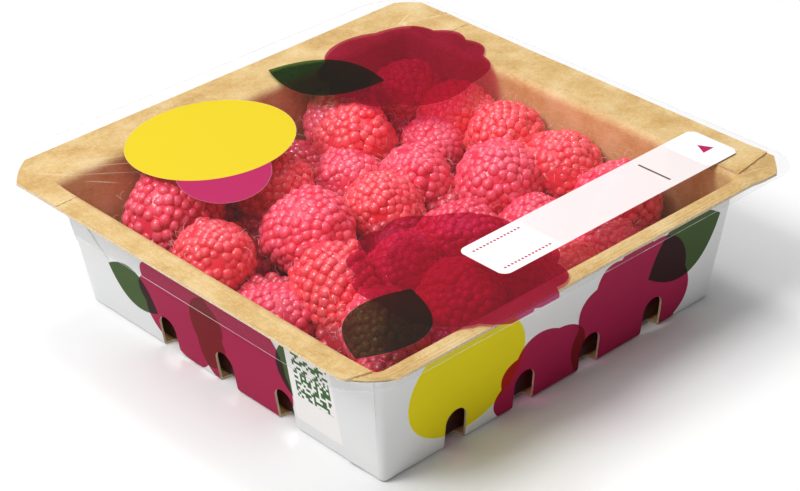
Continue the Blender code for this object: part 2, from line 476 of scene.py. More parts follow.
@dataclass(frozen=True)
class PrintedBoard:
    """White clay-coated side of the board, offset printed: smooth, faintly satin, inks soaked in flat."""

    nodes: FieldNodes
    y_wall: tuple[PrintedField, ...]
    x_wall: tuple[PrintedField, ...]
    wall_inner: float
    code_panel: tuple[float, float, float, float]
    name: str = "printed_board"
    white: str = "#F1F1F0"
    code_green: str = "#3F6B34"
    code_cell: float = 0.75 * MM

    def make(self) -> bpy.types.Material:
        """Build the material, with one layout for the two Y walls and one for the two X walls."""
        material, tree, shader = new_material(self.name)
        do = Formula(tree)
        place = object_place(tree)
        x, y, z = do.split(place)
        size_x, size_y = do.math("ABSOLUTE", x), do.math("ABSOLUTE", y)
        on_y_wall = do.math("GREATER_THAN", size_y, size_x)
        on_x_wall = do.math("SUBTRACT", 1.0, on_y_wall)
        on_walls = do.math("GREATER_THAN", do.math("MAXIMUM", size_x, size_y), self.wall_inner)
        # Seen from outside, u runs to the right on every wall, and v is the height
        y_place = do.joined(do.math("MULTIPLY", x, do.math("MULTIPLY", do.math("SIGN", y), -1.0)), z, 0.0)
        x_place = do.joined(do.math("MULTIPLY", y, do.math("SIGN", x)), z, 0.0)
        clouds = do.noise(place, 30 * MM, 2.0)
        color = do.blend(do.ramp(clouds, 0.3, 0.7), linear(self.white), linear("#EAEBEC"))
        layouts = ((self.y_wall, y_place, on_y_wall), (self.x_wall, x_place, on_x_wall))
        for fields, wall_place, on_wall in layouts:
            here = do.math("MULTIPLY", on_wall, on_walls)
            for printed in fields:
                mask = do.math("MULTIPLY", self.nodes.mask(tree, printed, wall_place), here)
                mode = "MULTIPLY" if printed.ink.overprint is Overprint.THROUGH else "MIX"
                ink = printed.ink.passes if printed.ink.overprint is Overprint.THROUGH else printed.ink.body
                color = do.mixed(mode, mask, color, linear(ink))
        cells = do.math("MULTIPLY", self.code_mask(tree, do, x_place),
                        do.math("MULTIPLY", on_x_wall, on_walls))
        color = do.blend(cells, color, linear(self.code_green))
        tree.links.new(color, shader.inputs["Base Color"])
        set_values(shader, Roughness=0.55, Specular_IOR_Level=0.12)
        link_bump(tree, shader, do.noise(place, 0.5 * MM, 2.0), 0.02 * MM, 0.35)
        return material

    def code_mask(self, tree: bpy.types.NodeTree, do: Formula, place) -> bpy.types.NodeSocket:
        """A square of random cells, which stands for a scannable code and holds no data."""
        left, low, right, high = (value * MM for value in self.code_panel)
        cell = do.vector("FLOOR", do.scaled(place, 1 / self.code_cell))
        chance = out(add_node(tree, "ShaderNodeTexWhiteNoise", {"Vector": cell}, noise_dimensions="3D"),
                     "Value")
        middle = ((left + right) / 2 / MM, (low + high) / 2 / MM)
        half = ((right - left) / 2 / MM, (high - low) / 2 / MM)
        square = PrintedField(FieldShape.PANEL, WHITE_INK, middle, half, depth=0.2)
        return do.math("MULTIPLY", do.math("GREATER_THAN", chance, 0.5), self.nodes.mask(tree, square, place))


@dataclass(frozen=True)
class BerrySkin:
    """Ripe raspberry skin: wet translucent red drupelets under a dry, pale, downy bloom, whose pale colour on
    each drupelet's top is partly painted sheen.
    """

    name: str
    deep: str
    bright: str
    bloom_sheen: str
    # How much of the bloom and its painted sheen shows
    haze: float = 0.55

    def make(self) -> bpy.types.Material:
        """Build the material from the attributes that the berries carry."""
        material, tree, shader = new_material(self.name)
        do = Formula(tree)
        place = object_place(tree)
        dome = out(add_node(tree, "ShaderNodeAttribute", attribute_name="dome"), "Fac")
        tone = out(add_node(tree, "ShaderNodeAttribute", attribute_name="tone"), "Fac")
        patches = do.noise(place, 6 * MM, 2.0)
        ripe = do.math("ADD", do.math("MULTIPLY", tone, 0.55),
                       do.math("MULTIPLY", do.ramp(patches, 0.3, 0.7), 0.45))
        flesh = do.blend(ripe, linear(self.deep), linear(self.bright))
        down = do.noise(place, 0.55 * MM, 2.0, 0.65)
        # Pale bloom colour on the drupelets' tops: partly the down's own colour, partly painted sheen
        bloom_sheen_mask = do.math("MULTIPLY", do.ramp(dome, 0.5, 1.0), do.ramp(down, 0.38, 0.68))
        bloom_sheen_mask = do.math("MULTIPLY", bloom_sheen_mask, do.ramp(do.noise(place, 9 * MM, 1.0), 0.35, 0.6, 0.45, 1.0))
        color = do.blend(do.math("MULTIPLY", bloom_sheen_mask, self.haze), flesh, linear(self.bloom_sheen))
        tree.links.new(color, shader.inputs["Base Color"])
        tree.links.new(do.ramp(down, 0.3, 0.7, 0.3, 0.5), shader.inputs["Roughness"])
        set_values(shader, Subsurface_Weight=0.2, Subsurface_Radius=(1.0, 0.2, 0.2),
                   Subsurface_Scale=1.0 * MM,
                   Coat_Weight=0.6, Coat_Roughness=0.08, Sheen_Weight=0.15, Sheen_Roughness=0.4,
                   Sheen_Tint=linear("#FFC9CF"))
        link_bump(tree, shader, down, 0.10 * MM, 0.5)
        return material


@dataclass(frozen=True)
class BerryHair:
    """Dried styles: hair-fine, straw to pink, dull."""

    name: str = "berry_hair"

    def make(self) -> bpy.types.Material:
        """Build the material."""
        material, tree, shader = new_material(self.name)
        do = Formula(tree)
        shift = do.noise(object_place(tree), 5 * MM, 1.0)
        tree.links.new(do.blend(do.ramp(shift, 0.35, 0.65), linear("#FFE4DA"), linear("#F4BEB6")),
                       shader.inputs["Base Color"])
        set_values(shader, Roughness=0.6)
        return material


@dataclass(frozen=True)
class PaintedShadeCore:
    """The dark wet red between and under the berries, where no light gets in: its dark colour is painted
    shade.
    """

    name: str = "painted_shade_core"

    def make(self) -> bpy.types.Material:
        """Build the material."""
        material, tree, shader = new_material(self.name)
        do = Formula(tree)
        # Painted shade: near-black reds for the depths of the heap
        patches = do.noise(object_place(tree), 4 * MM, 3.0)
        tree.links.new(do.blend(do.ramp(patches, 0.3, 0.7), linear("#2A0508"), linear("#4E0A14")),
                       shader.inputs["Base Color"])
        set_values(shader, Roughness=0.5)
        link_bump(tree, shader, patches, 0.6 * MM, 0.6)
        return material


@dataclass(frozen=True)
class PrintedFilm:
    """Heat-seal polyester film, clear and glossy, with translucent and solid flexo inks on it."""

    nodes: FieldNodes
    fields: tuple[PrintedField, ...]
    name: str = "printed_film"
    milk: float = 0.004
    clear: str = "#F8F8F8"

    def make(self) -> bpy.types.Material:
        """Build the material: what passes, tinted, mixed with what the inks hide, under gloss."""
        material, tree, shader = new_material(self.name)
        do = Formula(tree)
        place = object_place(tree)
        passes: object = linear(self.clear)
        body: object = linear("#F4F4F6")
        hides: object = self.milk
        for printed in self.fields:
            mask = self.nodes.mask(tree, printed, place)
            through = printed.ink.overprint is Overprint.THROUGH
            passes = do.mixed("MULTIPLY" if through else "MIX", mask, passes, linear(printed.ink.passes))
            body = do.blend(mask, body, linear(printed.ink.body))
            target = do.math("MAXIMUM", hides, printed.ink.hides) if through else printed.ink.hides
            hides = do.math("ADD", do.math("MULTIPLY", hides, do.math("SUBTRACT", 1.0, mask)),
                            do.math("MULTIPLY", target, mask))
        tree.links.new(body, shader.inputs["Base Color"])
        set_values(shader, Roughness=0.35, Specular_IOR_Level=0.3)
        clear = add_node(tree, "ShaderNodeBsdfTransparent", {"Color": passes})
        sheet = add_node(tree, "ShaderNodeMixShader", {0: hides, 1: out(clear), 2: out(shader)})
        gloss = add_node(tree, "ShaderNodeBsdfGlossy", {"Color": linear("#FFFFFF"), "Roughness": 0.06})
        fresnel = add_node(tree, "ShaderNodeFresnel", {"IOR": 1.15})
        top = add_node(tree, "ShaderNodeMixShader", {0: out(fresnel), 1: out(sheet), 2: out(gloss)})
        tree.links.new(out(top), tree.nodes["Material Output"].inputs["Surface"])
        return material


@dataclass(frozen=True)
class ClearFilm:
    """The film's bare underside and cut edge: clear, with only a trace of haze."""

    name: str
    passes: str
    haze: float

    def make(self) -> bpy.types.Material:
        """Build the material."""
        material, tree, shader = new_material(self.name)
        do = Formula(tree)
        streaks = do.noise(do.vector("MULTIPLY", object_place(tree), (1.0, 0.15, 1.0)), 3 * MM, 2.0)
        haze = do.ramp(streaks, 0.3, 0.7, 0.6 * self.haze, 1.4 * self.haze)
        set_values(shader, Base_Color=linear("#F7F7F8"), Roughness=0.3, Specular_IOR_Level=0.3)
        clear = add_node(tree, "ShaderNodeBsdfTransparent", {"Color": linear(self.passes)})
        mix = add_node(tree, "ShaderNodeMixShader", {0: haze, 1: out(clear), 2: out(shader)})
        tree.links.new(out(mix), tree.nodes["Material Output"].inputs["Surface"])
        return material


@dataclass(frozen=True)
class StudioFloor:
    """Matt white table top."""

    name: str = "studio_floor"

    def make(self) -> bpy.types.Material:
        """Build the material."""
        material, tree, shader = new_material(self.name)
        do = Formula(tree)
        shade = do.noise(object_place(tree), 0.4, 1.0)
        tree.links.new(do.blend(do.ramp(shade, 0.3, 0.7), linear("#F2F2F2"), linear("#EFEFEF")),
                       shader.inputs["Base Color"])
        set_values(shader, Roughness=0.9, Specular_IOR_Level=0.1)
        return material


# --- Meshes ------------------------------------------------------------------------------------


def link_mesh(name: str, mesh: bpy.types.Mesh) -> bpy.types.Object:
    """Put a mesh in the scene as an object at the origin."""
    piece = bpy.data.objects.new(name, mesh)
    bpy.context.scene.collection.objects.link(piece)
    return piece


def mesh_from(builder: bmesh.types.BMesh, name: str) -> bpy.types.Mesh:
    """Close a bmesh into a mesh whose faces point outwards."""
    bmesh.ops.recalc_face_normals(builder, faces=builder.faces)
    mesh = bpy.data.meshes.new(name)
    builder.to_mesh(mesh)
    builder.free()
    return mesh


def plain_copy(piece: bpy.types.Object, name: str) -> bpy.types.Object:
    """Turn an object's evaluated shape into a plain mesh object, and remove the first object.

    Args:
        piece: The object, with its modifiers.
        name: The new object's name.

    Returns:
        The new object, without modifiers.
    """
    bpy.context.view_layer.update()
    shape = piece.evaluated_get(bpy.context.evaluated_depsgraph_get())
    mesh = bpy.data.meshes.new_from_object(shape)
    bpy.data.objects.remove(piece)
    mesh.name = name
    return link_mesh(name, mesh)


def remove_objects(pieces: Iterable[bpy.types.Object]) -> None:
    """Remove helpers such as cutters."""
    for piece in pieces:
        bpy.data.objects.remove(piece)


def place_piece(piece: bpy.types.Object, replaced: str | None = None) -> None:
    """Make a finished piece part of the punnet.

    Args:
        piece: The finished piece.
        replaced: The CAD node that it stands for, if it does.
    """
    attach(piece, BODY)
    if replaced:
        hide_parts(replaced)
    log.info("%s: %d faces", piece.name, len(piece.data.polygons))


@dataclass(frozen=True)
class Bounds:
    """The four sides of a rectangle in plan."""

    min_x: float
    max_x: float
    min_y: float
    max_y: float

    @classmethod
    def square(cls, half: float) -> "Bounds":
        """A square round the origin."""
        return cls(-half, half, -half, half)

    @classmethod
    def of_node(cls, node: str) -> "Bounds":
        """The rectangle that a CAD node fills in plan."""
        low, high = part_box(node)
        return cls(low.x, high.x, low.y, high.y)

    def grown(self, by: float) -> "Bounds":
        """The rectangle with each side moved out."""
        return Bounds(self.min_x - by, self.max_x + by, self.min_y - by, self.max_y + by)

    def toward(self, other: "Bounds", share: float) -> "Bounds":
        """A rectangle part of the way to another."""
        pairs = zip((self.min_x, self.max_x, self.min_y, self.max_y),
                    (other.min_x, other.max_x, other.min_y, other.max_y))
        return Bounds(*(a + (b - a) * share for a, b in pairs))


@dataclass(frozen=True)
class Ring:
    """A rectangle with round or cut corners, as a closed row of points at one height."""

    bounds: Bounds
    corner: float
    height: float
    cut: float = 0.0  # 0 for a round corner, 1 for one cut straight across
    sizes: tuple[float, float, float, float] = (1, 1, 1, 1)  # of the corners, anticlockwise from (+X, -Y)

    def points(self, side_steps: int, corner_steps: int) -> list[Vector]:
        """The ring's points, anticlockwise from the -Y side.

        Args:
            side_steps: Points inside each straight side.
            corner_steps: Steps round each corner.

        Returns:
            The points.
        """
        b = self.bounds
        places = ((b.max_x, b.min_y, -1, 1), (b.max_x, b.max_y, -1, -1), (b.min_x, b.max_y, 1, -1),
                  (b.min_x, b.min_y, 1, 1))
        corners = []
        for index, (corner_x, corner_y, in_x, in_y) in enumerate(places):
            r = self.corner * self.sizes[index]
            x, y, start = corner_x + in_x * r, corner_y + in_y * r, (index - 1) * 0.5 * pi
            ends = [Vector((x + r * cos(a), y + r * sin(a), self.height)) for a in (start, start + 0.5 * pi)]
            arc = []
            for step in range(corner_steps + 1):
                share = step / corner_steps
                angle = start + 0.5 * pi * share
                turned = Vector((x + r * cos(angle), y + r * sin(angle), self.height))
                arc.append(turned.lerp(ends[0].lerp(ends[1], share), self.cut))
            corners.append(arc)
        row: list[Vector] = []
        for index, arc in enumerate(corners):
            before = corners[index - 1][-1]
            row += [before.lerp(arc[0], step / (side_steps + 1)) for step in range(1, side_steps + 1)]
            row += arc
        return row


def loft(builder: bmesh.types.BMesh, rows: Sequence[Sequence[Vector]]) -> list[list[bmesh.types.BMVert]]:
    """Join rows of points with quads.

    Args:
        builder: The bmesh that gets them.
        rows: Closed rows with the same number of points.

    Returns:
        The rows' vertices.
    """
    made = [[builder.verts.new(point) for point in row] for row in rows]
    for lower, upper in zip(made, made[1:]):
        count = len(lower)
        for i in range(count):
            j = (i + 1) % count
            builder.faces.new((lower[i], lower[j], upper[j], upper[i]))
    return made


def close_inward(builder: bmesh.types.BMesh, row: list[bmesh.types.BMVert], middle: Vector,
                 steps: int) -> None:
    """Fill a row of vertices with rings that shrink to a point.

    Args:
        builder: The bmesh that holds the row.
        row: The outer vertices.
        middle: The point that the rings shrink to.
        steps: How many rings there are.
    """
    outer = row
    for step in range(1, steps):
        share = step / steps
        inner = [builder.verts.new(vert.co.lerp(middle, share)) for vert in row]
        for i in range(len(row)):
            j = (i + 1) % len(row)
            builder.faces.new((outer[i], outer[j], inner[j], inner[i]))
        outer = inner
    centre = builder.verts.new(middle)
    for i in range(len(row)):
        builder.faces.new((outer[i], outer[(i + 1) % len(row)], centre))


def drift(place: Vector, size: float, amount: float, salt: float) -> float:
    """A smooth unevenness.

    Args:
        place: Where, in metres.
        size: How far apart its rises are, in metres.
        amount: How high they are.
        salt: Which of many patterns.

    Returns:
        A height between -amount and amount.
    """
    return amount * noise.noise(place / size + Vector((salt, salt * 1.7, salt * 0.3)))


# --- The tray ----------------------------------------------------------------------------------


@dataclass
class Tray:
    """The folded board tray, with its vents, its glued corner tabs and its lapped rim corners."""

    finish_inside: KraftBoard
    finish_outside: PrintedBoard
    finish_edge: BoardEdge
    base_half: float = 54.0 * MM
    mouth_half: float = 58.4 * MM
    board: float = 0.6 * MM
    base_fold: float = 1.1 * MM
    rim_fold: float = 1.6 * MM
    base_corner: float = 1.4 * MM
    mouth_corner: float = 2.6 * MM
    lip_corner: float = 9.0 * MM
    lip_cut: float = 0.75
    vent_width: float = 6.4 * MM
    vent_height: float = 10.0 * MM
    vent_reach: float = 4.6 * MM
    vents_y: tuple[float, ...] = (-0.6, -0.2, 0.2, 0.6)
    vents_x: tuple[float, ...] = (-0.4, 0.0, 0.4)
    side_steps: int = 26
    corner_steps: int = 5
    fold_steps: int = 4
    wall_steps: int = 6
    lip_steps: int = 9
    lip_press: float = 0.22 * MM
    corner_sizes: tuple[float, float, float, float] = (0.6, 0.62, 0.9, 1.0)
    tip_drop: float = 0.7 * MM
    materials: list[bpy.types.Material] = field(default_factory=list)

    def __post_init__(self) -> None:
        """Read the rim's size and height from the frame."""
        self.lip = Bounds.of_node("tray")
        self.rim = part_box("tray")[1].z

    @property
    def lean(self) -> float:
        """How far a wall leans out for each metre up."""
        return (self.mouth_half - self.base_half) / (self.rim - self.board)

    def half_at(self, height: float) -> float:
        """Half the tray's outside width at a height, on its walls."""
        return self.base_half + self.lean * height

    def rings(self) -> list[Ring]:
        """The outside of the board as rings, from the base's middle to the rim's edge."""
        under = self.rim - self.board
        wall_angle = pi / 2 - self.lean
        rings = [Ring(Bounds.square(self.base_half - 6 * MM), self.base_corner, 0.0),
                 Ring(Bounds.square(self.base_half - 2.4 * MM), self.base_corner, 0.0)]
        rings += self.fold(self.base_half, 0.0, self.base_fold, 0.0, wall_angle)
        for step in range(1, self.wall_steps):
            height = self.base_fold + (under - self.base_fold - self.rim_fold) * step / self.wall_steps
            share = height / under
            corner = self.base_corner + (self.mouth_corner - self.base_corner) * share
            rings.append(Ring(Bounds.square(self.half_at(height)), corner, height))
        rings += self.fold(self.mouth_half, under, self.rim_fold, wall_angle, 0.0)
        inner = Bounds.square(self.mouth_half + self.rim_fold)
        for step in range(1, self.lip_steps + 1):
            share = step / self.lip_steps
            corner = self.mouth_corner + (self.lip_corner - self.mouth_corner) * share
            sizes = tuple(1 + (size - 1) * share for size in self.corner_sizes)
            height = under - self.lip_press * sin(share * 3 * pi) ** 2
            rings.append(Ring(inner.toward(self.lip, share), corner, height, self.lip_cut * share, sizes))
        return rings

    def fold(self, half: float, height: float, radius: float, start: float, end: float) -> list[Ring]:
        """Rings round a fold whose sharp corner would be at half and height.

        Args:
            half: Half the width at the fold's sharp corner.
            height: The height of that corner.
            radius: How far from the corner the bend starts.
            start: The sheet's slope before the fold, as an angle above the table.
            end: The slope after it.

        Returns:
            The rings, in order.
        """
        first = Vector((half - radius * cos(start), height - radius * sin(start)))
        last = Vector((half + radius * cos(end), height + radius * sin(end)))
        sharp = Vector((half, height))
        corner = self.base_corner if height < self.rim / 2 else self.mouth_corner
        rings = []
        for step in range(self.fold_steps + 1):
            share = step / self.fold_steps
            point = first.lerp(sharp, share).lerp(sharp.lerp(last, share), share)
            rings.append(Ring(Bounds.square(point.x), corner, point.y))
        return rings

    def unevenness(self, point: Vector) -> Vector:
        """How far the sheet at a point strays from flat: walls bow, lips wave."""
        height = point.z / self.rim
        bow = drift(point, 45 * MM, 0.35 * MM, 3.1) * 4 * height * (1 - height)
        outward = Vector((point.x, 0, 0)) if abs(point.x) > abs(point.y) else Vector((0, point.y, 0))
        beyond = max(abs(point.x), abs(point.y)) - self.mouth_half
        wave = min(drift(point, 30 * MM, 0.25 * MM, 7.7) * min(max(beyond / (6 * MM), 0), 1), 0)
        # At (+X, -Y) the lower lip's free tip sags under the one that laps over it
        tip = min(max((point.x - self.mouth_half) / (4 * MM), 0), 1) if point.y < -self.mouth_half else 0
        return outward.normalized() * bow + Vector((0, 0, wave - self.tip_drop * tip * (height > 0.9)))

    def sheet(self) -> bpy.types.Object:
        """The board as one open sheet, not yet thick."""
        builder = bmesh.new()
        rows = [ring.points(self.side_steps, self.corner_steps) for ring in self.rings()]
        rows = [[point + self.unevenness(point) for point in row] for row in rows]
        made = loft(builder, rows)
        builder.faces.new(made[0])
        mesh = mesh_from(builder, "board_tray")
        sheet = link_mesh("board_sheet", mesh)
        base = max(mesh.polygons, key=lambda face: len(face.vertices))
        if base.normal.z < 0:
            mesh.flip_normals()
        return sheet

    def arch(self, along: float, side: int, on_x: bool) -> list[list[Vector]]:
        """An arch's outline, as two rows of points inside and outside a wall."""
        radius = self.vent_width / 2
        spring = self.vent_height - radius
        steps = 14
        outline = [(-radius * 1.04, -3 * MM), (radius * 1.04, -3 * MM)]
        outline += [(radius * cos(pi * k / steps),
                     spring + radius * sin(pi * k / steps)) for k in range(steps + 1)]
        rows = []
        for depth in (self.base_half - 1.3 * MM, self.mouth_half + 4 * MM):
            row = [(along + u, side * depth, z) for u, z in outline]
            rows.append([Vector((d, a, z)) if on_x else Vector((a, d, z)) for a, d, z in row])
        return rows

    def slot(self, along: float, side: int, on_x: bool) -> list[list[Vector]]:
        """The vent's round-ended part in the base, as two rows of points below and above it."""
        radius = self.vent_width / 2
        steps = 14
        centre = self.base_half - self.vent_reach + radius
        end = self.base_half + 3 * MM
        outline = [(radius, end), (-radius, end)]
        outline += [(-radius * cos(pi * k / steps),
                     centre - radius * sin(pi * k / steps)) for k in range(steps + 1)]
        rows = []
        for height in (-2 * MM, 1.4 * MM):
            row = [(along + u, side * v, height) for u, v in outline]
            rows.append([Vector((d, a, z)) if on_x else Vector((a, d, z)) for a, d, z in row])
        return rows

    def cutter(self, name: str,
               outline: Callable[[float, int, bool], list[list[Vector]]]) -> bpy.types.Object:
        """All vents' cutters of one kind, in one object.

        Args:
            name: The cutter's name.
            outline: Gives one vent's two rows of points.

        Returns:
            The cutter.
        """
        builder = bmesh.new()
        for side in (-1, 1):
            for places, on_x in ((self.vents_y, False), (self.vents_x, True)):
                for share in places:
                    made = loft(builder, outline(share * self.base_half, side, on_x))
                    for row in made:
                        builder.faces.new(row)
        cutter = link_mesh(name, mesh_from(builder, name))
        cutter.data.materials.append(self.materials[2])
        return cutter

    def build_body(self) -> None:
        """Build and dress the tray's body."""
        tray = self.sheet()
        for material in self.materials:
            tray.data.materials.append(material)
        thick = tray.modifiers.new("board", "SOLIDIFY")
        thick.thickness = self.board
        thick.offset = 1.0
        thick.use_even_offset = True
        thick.use_quality_normals = True
        thick.material_offset = 1
        thick.material_offset_rim = 2
        cutters = [self.cutter("wall_vents", self.arch), self.cutter("base_vents", self.slot)]
        for cutter in cutters:
            vents = tray.modifiers.new(cutter.name, "BOOLEAN")
            vents.operation = "DIFFERENCE"
            vents.solver = "EXACT"
            vents.material_mode = "TRANSFER"
            vents.object = cutter
        tray = plain_copy(tray, "board_tray")
        remove_objects(cutters)
        tray.data.shade_smooth()
        tray.data.set_sharp_from_angle(angle=radians(38))
        place_piece(tray, "tray")

    def wall_point(self, along: float, height: float, outward: float, side: int) -> Vector:
        """A point on an X wall's outside, lifted off it."""
        return Vector((side * (self.half_at(height) + outward), along, height))

    def build_tabs(self) -> None:
        """The glue tabs that come round the corners from the Y walls onto the X walls."""
        builder = bmesh.new()
        rows_up = 14
        for side in (-1, 1):
            for end in (-1, 1):
                straight = side * end > 0
                low = 1.2 * MM if straight else 18 * MM
                for_row = []
                for step in range(rows_up + 1):
                    share = step / rows_up
                    height = low + (self.rim - 2.4 * MM - low) * share
                    corner = end * (self.half_at(height) - 1.2 * MM)
                    reach = (10.2 + 1.4 * share) * MM if straight else (5.2 + 8.2 * (1 - share) ** 1.5) * MM
                    lift = (0.5 if straight else 0.04 + 0.36 * share) * MM
                    free = corner - end * reach
                    for_row.append([
                        self.wall_point(corner, height, -0.1 * MM, side),
                        self.wall_point(corner, height, 0.01 * MM, side),
                        self.wall_point(free, height, lift, side),
                        self.wall_point(free, height, -0.1 * MM, side),
                    ])
                made = loft(builder, for_row)
                builder.faces.new(made[0])
                builder.faces.new(made[-1])
        tabs = link_mesh("glue_tabs", mesh_from(builder, "glue_tabs"))
        tabs.data.materials.append(self.materials[1])
        tabs.data.set_sharp_from_angle(angle=radians(30))
        place_piece(tabs)

    def build_laps(self) -> None:
        """The X lips' ends, which lap over the Y lips' ends at the rim's corners."""
        builder = bmesh.new()
        top = self.rim + 0.02 * MM
        lap = 0.34 * MM
        for side_x in (-1, 1):
            edge_x = self.lip.max_x if side_x > 0 else self.lip.min_x
            for side_y in (-1, 1):
                edge_y = self.lip.max_y if side_y > 0 else self.lip.min_y
                inner_x, outer_x = side_x * (self.mouth_half + 0.5 * MM), edge_x - side_x * 0.2 * MM
                start, end = side_y * (self.mouth_half - 10 * MM), side_y * (self.mouth_half - 0.6 * MM)
                outer_end = min(abs(end), abs(edge_y) - 7.4 * MM) * side_y
                outline = [Vector((inner_x, start)), Vector((outer_x, start)), Vector((outer_x, outer_end)),
                           Vector((inner_x, end))]
                rises = (0.0, 0.0, lap, lap)
                lower = [Vector((p.x, p.y, top - 0.25 * MM)) for p in outline]
                upper = [Vector((p.x, p.y, top + rise)) for p, rise in zip(outline, rises)]
                made = loft(builder, [lower, upper])
                for row in made:
                    builder.faces.new(row)
        laps = link_mesh("rim_laps", mesh_from(builder, "rim_laps"))
        laps.data.materials.append(self.materials[0])
        laps.data.materials.append(self.materials[2])
        for face in laps.data.polygons:
            face.material_index = 0 if face.normal.z > 0.5 else 1
        place_piece(laps)

    def build(self) -> None:
        """Build every piece of the tray."""
        self.materials = [self.finish_outside.make(), self.finish_inside.make(), self.finish_edge.make()]
        self.materials = [self.materials[1], self.materials[0], self.materials[2]]
        self.build_body()
        self.build_tabs()
        self.build_laps()


# --- The berries -------------------------------------------------------------------------------


class Ripeness(Enum):
    """The three looks of berry in the punnet."""

    BRIGHT = "bright"
    ROSE = "rose"
    DEEP = "deep"


@dataclass(frozen=True)
class Berry:
    """One berry: its middle, size and the way its tip points, in millimetres and degrees."""

    x: float
    y: float
    z: float
    yaw: float
    lean: float
    length: float = 21.5
    width: float = 20.0
    look: Ripeness = Ripeness.ROSE

    @property
    def turn(self) -> Euler:
        """The turn that takes +Z to the way the tip points."""
        tilt = Matrix.Rotation(radians(90 - self.lean), 4, "Y")
        spin = Matrix.Rotation(radians(self.yaw), 4, "Z")
        return (spin @ tilt).to_euler()


class BerryTree:
    """The geometry tree that covers each berry's rounded cone with drupelets or with hairs."""

    GOLDEN_ANGLE = pi * (3 - 5 ** 0.5)
    STEM_END = 0.42  # how much of the sphere's height is left open at the stem end

    def __init__(self, name: str) -> None:
        """Start the tree with the inputs that both kinds of cover share."""
        self.tree = bpy.data.node_groups.new(name, "GeometryNodeTree")
        self.do = Formula(self.tree)
        self._socket("Geometry", "NodeSocketGeometry")
        self._socket("Geometry", "NodeSocketGeometry", "OUTPUT")
        self._socket("Count", "NodeSocketInt")
        self._socket("Size", "NodeSocketFloat")
        self._socket("Unevenness", "NodeSocketFloat")
        self._socket("Seed", "NodeSocketInt")
        self._socket("Wall", "NodeSocketFloat")
        self._socket("Lean", "NodeSocketFloat")
        self._socket("Floor", "NodeSocketFloat")
        self._socket("Ceiling", "NodeSocketFloat")
        self.given = self.tree.nodes.new("NodeGroupInput")
        self.points, self.normal = self._spread()

    def _socket(self, name: str, kind: str, way: str = "INPUT") -> None:
        """Add a named input or output to the tree."""
        self.tree.interface.new_socket(name, in_out=way, socket_type=kind)

    def _read(self, name: str, kind: str) -> bpy.types.NodeSocket:
        """A berry's own value, which its points carry."""
        node = add_node(self.tree, "GeometryNodeInputNamedAttribute", {"Name": name}, data_type=kind)
        return out(node, "Attribute")

    def _random(self, low: float, high: float, salt: int) -> bpy.types.NodeSocket:
        """A random number for each point, the same each run."""
        seed = self.do.math("ADD", self.given.outputs["Seed"], float(salt))
        node = add_node(self.tree, "FunctionNodeRandomValue", {"Min": low, "Max": high, "Seed": seed},
                        data_type="FLOAT")
        return out(node, "Value")

    def _spread(self) -> tuple[bpy.types.NodeSocket, bpy.types.NodeSocket]:
        """Spread Count points over each berry, in a spiral from its tip to its stem end.

        Returns:
            The points, and the direction that each faces.
        """
        tree, do = self.tree, self.do
        copies = add_node(tree, "GeometryNodeDuplicateElements",
                          {"Geometry": self.given.outputs["Geometry"], "Amount": self.given.outputs["Count"]},
                          domain="POINT")
        order = out(copies, "Duplicate Index")
        salt = self._read("salt", "FLOAT")
        share = do.math("DIVIDE", do.math("ADD", order, 0.5), self.given.outputs["Count"])
        height = do.math("MULTIPLY_ADD", share, -(2 - self.STEM_END), self._random(0.985, 1.0, 4))
        angle = do.math("ADD", do.math("MULTIPLY_ADD", order, self.GOLDEN_ANGLE, salt),
                        self._random(-0.05, 0.05, 3))
        radius = do.math("SQRT", do.math("MAXIMUM",
                                         do.math("SUBTRACT", 1.0, do.math("MULTIPLY", height, height)), 0.0))
        across = do.joined(do.math("MULTIPLY", radius, do.math("COSINE", angle)),
                           do.math("MULTIPLY", radius, do.math("SINE", angle)), 0.0)
        facing = do.vector("ADD", across, do.joined(0.0, 0.0, height))

        # A berry is a blunt cone: fuller towards its stem end, with soft dents of its own
        taper = do.math("MULTIPLY_ADD", do.math("ADD", height, 0.6), -0.10, 1.06)
        blunt = do.math("POWER", do.math("MAXIMUM", radius, 0.001), -0.18)
        girth = do.math("MULTIPLY", taper, do.math("MINIMUM", blunt, 1.35))
        shape = do.vector("ADD", do.scaled(across, girth), do.joined(0.0, 0.0, height))
        place = do.vector("ADD", facing, do.joined(do.math("MULTIPLY", salt, 3.0), salt, salt))
        dents = add_node(tree, "ShaderNodeTexNoise", {"Vector": place, "Scale": 1.1, "Detail": 1.0})
        swell = do.math("MULTIPLY_ADD", do.math("SUBTRACT", out(dents, 0), 0.5),
                        self.given.outputs["Unevenness"], 1.0)
        sunk = do.math("MULTIPLY", self.given.outputs["Size"], 0.66)
        depth = do.joined(sunk, sunk, sunk)
        half = do.vector("SUBTRACT", do.scaled(self._read("size", "FLOAT_VECTOR"), 0.5), depth)
        local = do.scaled(do.vector("MULTIPLY", shape, half), swell)
        local = do.scaled(local, self._random(0.97, 1.025, 5))
        outward = do.vector("NORMALIZE", do.vector("DIVIDE", facing, half))

        turn = out(add_node(tree, "FunctionNodeEulerToRotation", {0: self._read("turn", "FLOAT_VECTOR")}))
        moved = out(add_node(tree, "FunctionNodeRotateVector", {"Vector": local, "Rotation": turn}))
        normal = out(add_node(tree, "FunctionNodeRotateVector", {"Vector": outward, "Rotation": turn}))
        kept = add_node(tree, "GeometryNodeStoreNamedAttribute",
                        {"Geometry": out(copies, "Geometry"), "Name": "facing", "Value": normal},
                        data_type="FLOAT_VECTOR", domain="POINT")
        placed = add_node(tree, "GeometryNodeSetPosition", {"Geometry": out(kept), "Offset": moved})
        return out(placed), self._read("facing", "FLOAT_VECTOR")

